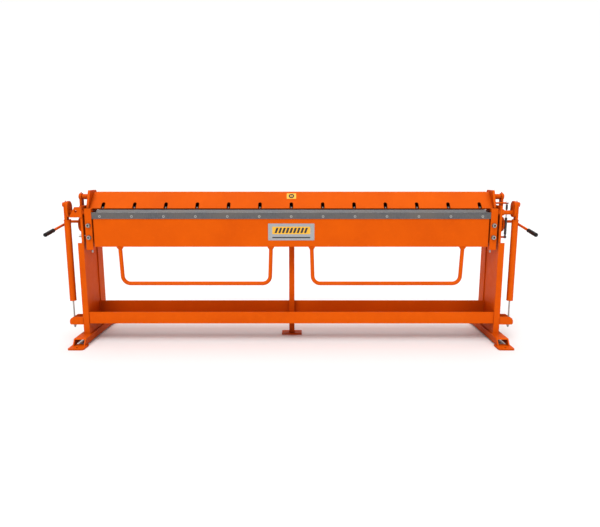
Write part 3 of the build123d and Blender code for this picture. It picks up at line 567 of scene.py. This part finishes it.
# ---------------------------------------------------------------- printed plates
def nameplate():
    """Plain shapes on the nameplate: yellow field, dark chevrons, a bar below and four drive rivets."""
    low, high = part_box("nameplate")
    centre = Vector(((low.x + high.x) / 2, low.y, (low.z + high.z) / 2))
    width = high.x - low.x
    height = high.z - low.z
    across = (1, 0, 0)
    up = (0, 0, 1)
    printed_width = width * 0.82
    ink_thickness = 0.25 * MM
    field_rise = 10 * MM
    chevron_pitch = 23.5 * MM
    rivet_inset = 9 * MM

    def panel(name, rise, tall, ink, corner):
        work = bmesh.new()
        plate(work, centre + Vector((0, 0, rise)), across, up, printed_width, tall, ink_thickness, corner)
        finish_mesh(name, work, "leaf", "plate_silver", ink, smooth=False)

    panel("nameplate_field", field_rise, 48 * MM, materials["sign_yellow"], 4 * MM)
    panel("nameplate_bar", -36 * MM, 8 * MM, ink_grey, 2 * MM)
    chevrons = bmesh.new()
    slant = Vector((0.35, 0, 1)).normalized()
    for k in range(-4, 5):
        spot = centre + Vector((k * chevron_pitch, -ink_thickness, field_rise))
        plate(chevrons, spot, across, slant, 14 * MM, 36 * MM, 0.2 * MM)
    finish_mesh("nameplate_chevrons", chevrons, "leaf", "plate_silver", ink_grey, smooth=False)
    rivets = bmesh.new()
    for sx in (-1, 1):
        for sz in (-1, 1):
            spot = centre + Vector((sx * (width / 2 - rivet_inset), 0, sz * (height / 2 - rivet_inset)))
            lathe(rivets, [(3.2 * MM, 0), (3.0 * MM, 0.7 * MM), (1.9 * MM, 1.35 * MM), (0, 1.6 * MM)],
                  spot, (0, -1, 0), steps=20)
    finish_mesh("nameplate_rivets", rivets, "leaf", "zinc_steel")


def sign_symbol():
    """Dark ring with a bar on the yellow plate."""
    low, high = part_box("sign_plate")
    centre = (low + high) / 2
    run = Vector((0, BEAM_FACE_RUN, BEAM_FACE_RISE)).normalized()
    out = Vector((0, -BEAM_FACE_RISE, BEAM_FACE_RUN)).normalized()
    place = centre + out * 0.8 * MM
    ring = bmesh.new()
    lathe(ring, [(9 * MM, 0), (18 * MM, 0), (18 * MM, 0.4 * MM), (9 * MM, 0.4 * MM)], place, out,
          steps=48, closed=True)
    bar = place + out * 0.05 * MM
    plate(ring, bar, (1, 0, 0), run, 5 * MM, 10 * MM, 0.35 * MM, 2 * MM)
    finish_mesh("sign_symbol", ring, "clamp", "sign_yellow", ink_dark)


nameplate()
sign_symbol()


# ---------------------------------------------------------------- threads
THREAD_PITCH = 1.5 * MM
THREAD_DEPTH = 0.32  # of the pitch


def thread(work, centre, low, high, radius, pitch, steps=20):
    """Stacked V ridges that read as a rolled thread on a vertical rod."""
    turns = int((high - low) / pitch)
    profile = []
    for k in range(turns):
        z = low + k * pitch
        profile.append((radius, z))
        profile.append((radius + pitch * THREAD_DEPTH, z + pitch / 2))
    profile.append((radius, low + turns * pitch))
    lathe(work, profile, (centre[0], centre[1], 0), (0, 0, 1), steps=steps)


def rod_threads():
    """Threads on each balance rod, from its lower end to the nut and a short way above the nut."""
    for side in SIDES:
        low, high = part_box(f"balance_rod_{side}")
        nut_low, nut_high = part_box(f"rod_nut_{side}")
        centre = ((low.x + high.x) / 2, (low.y + high.y) / 2)
        work = bmesh.new()
        thread(work, centre, low.z + 0.5 * MM, nut_low.z, ROD_RADIUS, THREAD_PITCH)
        thread(work, centre, nut_high.z, nut_high.z + 9 * MM, ROD_RADIUS, THREAD_PITCH)
        finish_mesh(f"rod_thread_{side}", work, f"rod_{side}", "zinc_steel")


rod_threads()


# ---------------------------------------------------------------- floor, light and camera
# world strength on most sides, and in the directions near +Y that make the white backdrop
SIDE_SKY = 0.36
BACK_SKY = 1.02
BACK_SKY_FROM = 0.62
BACK_SKY_FULL = 0.8

# camera: eye in metres, tilt in degrees, lens and sensor in millimetres
EYE = (0.056, -3.524, 1.102)
TIP_DOWN = 9.8
LENS = 31.8
SENSOR = 36.0


def studio():
    """Pale floor, a white backdrop behind the machine and three broad soft lights."""
    bpy.ops.mesh.primitive_plane_add(size=60, location=(0, 0, -0.0005))
    floor = bpy.context.object
    floor.name = "studio_floor"
    material, tree, shader = new_material("studio_floor")
    shader.inputs["Base Color"].default_value = (0.93, 0.93, 0.93, 1)
    shader.inputs["Roughness"].default_value = 0.9
    shader.inputs["Specular IOR Level"].default_value = 0.1
    floor.data.materials.append(material)

    world = bpy.data.worlds.new("studio_world")
    bpy.context.scene.world = world
    world.use_nodes = True
    tree = world.node_tree
    sky = tree.nodes["Background"]
    sky.inputs["Color"].default_value = (1, 1, 1, 1)
    direction = tree.nodes.new("ShaderNodeTexCoord")
    axes = tree.nodes.new("ShaderNodeSeparateXYZ")
    link(tree, direction.outputs["Generated"], axes.inputs["Vector"])
    strength = ramp(tree, axes.outputs["Y"], BACK_SKY_FROM, BACK_SKY_FULL, SIDE_SKY, BACK_SKY)
    link(tree, strength, sky.inputs["Strength"])

    # name, direction it comes from, angular size in degrees, strength
    lights = (
        ("key_light", (-0.30, -0.75, 0.95), 35, 1.55),
        ("fill_light", (0.55, -0.70, 0.75), 60, 0.45),
        ("top_light", (0.0, 0.15, 1.0), 60, 1.05),
    )
    for name, source, spread, power in lights:
        data = bpy.data.lights.new(name, "SUN")
        data.energy = power
        data.angle = math.radians(spread)
        light = bpy.data.objects.new(name, data)
        light.rotation_euler = (-Vector(source)).to_track_quat("-Z", "Y").to_euler()
        bpy.context.scene.collection.objects.link(light)


def camera():
    """Eye level 1.1 m, 3.4 m in front of the bending strip, tipped down a little."""
    data = bpy.data.cameras.new("photo_camera")
    data.sensor_width = SENSOR
    data.lens = LENS
    eye = bpy.data.objects.new("photo_camera", data)
    eye.location = EYE
    eye.rotation_euler = (math.radians(90 - TIP_DOWN), 0, 0)
    bpy.context.scene.collection.objects.link(eye)
    bpy.context.scene.camera = eye


studio()
camera()
bpy.context.scene.view_settings.view_transform = "Standard"
